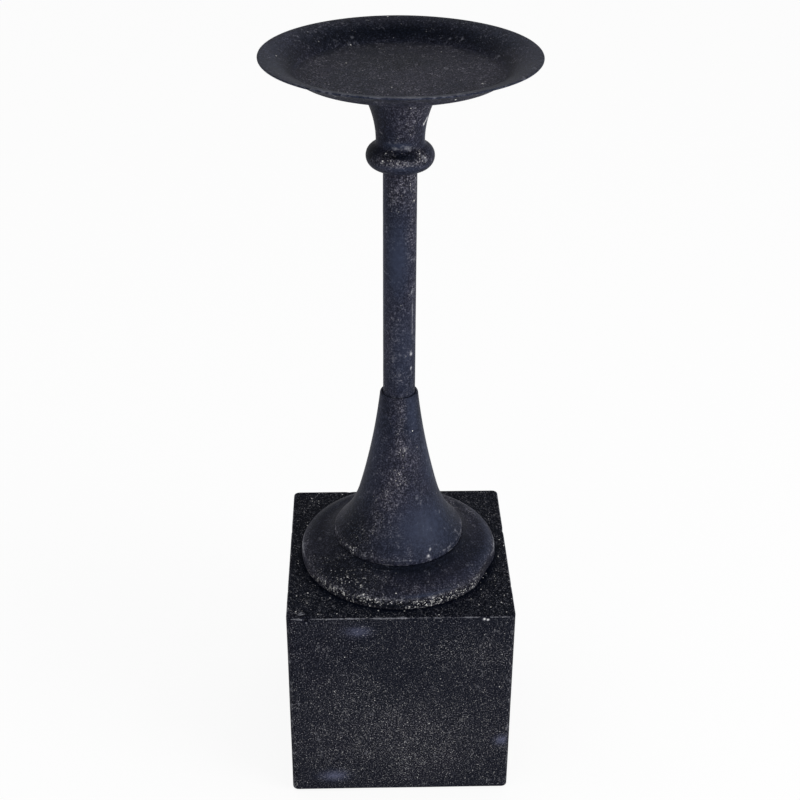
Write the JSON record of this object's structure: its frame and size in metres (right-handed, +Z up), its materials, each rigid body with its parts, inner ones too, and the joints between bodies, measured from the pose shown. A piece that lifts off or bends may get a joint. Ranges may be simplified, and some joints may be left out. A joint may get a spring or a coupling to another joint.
{
  "type": "candlestick",
  "caption": "Tall pillar candlestick: a shallow flared candle pan on a slim stem with a beaded collar, a trumpet foot and a saucer base, standing on a cube block.",
  "frame": {"origin": "on the floor under the middle of the block, in the plane of the felt pads' undersides", "axes": "+Z up along the stem, X and Y square to the block's sides, -Y towards the viewer"},
  "size_m": [0.1258, 0.1258, 0.382],
  "materials": {
    "iron_paint": "satin blue-black paint, worn with fine cream specks",
    "block_paint": "satin blue-black paint with fine pale speckle",
    "plain_steel": "zinc-plated steel",
    "felt": "black felt"
  },
  "bodies": {
    "root": {"base_block": "block_paint", "base_disc": "iron_paint", "bell_foot": "iron_paint", "drip_pan": "iron_paint", "felt_pads": "felt", "flat_washer": "plain_steel", "lower_stem_plug": "plain_steel", "neck_collar": "iron_paint", "neck_ring": "plain_steel", "pan_nut": "plain_steel", "spring_washer": "plain_steel", "stem_tube": "iron_paint", "tie_nut": "plain_steel", "tie_rod": "plain_steel", "upper_stem_plug": "plain_steel"}
  },
  "joints": []
}
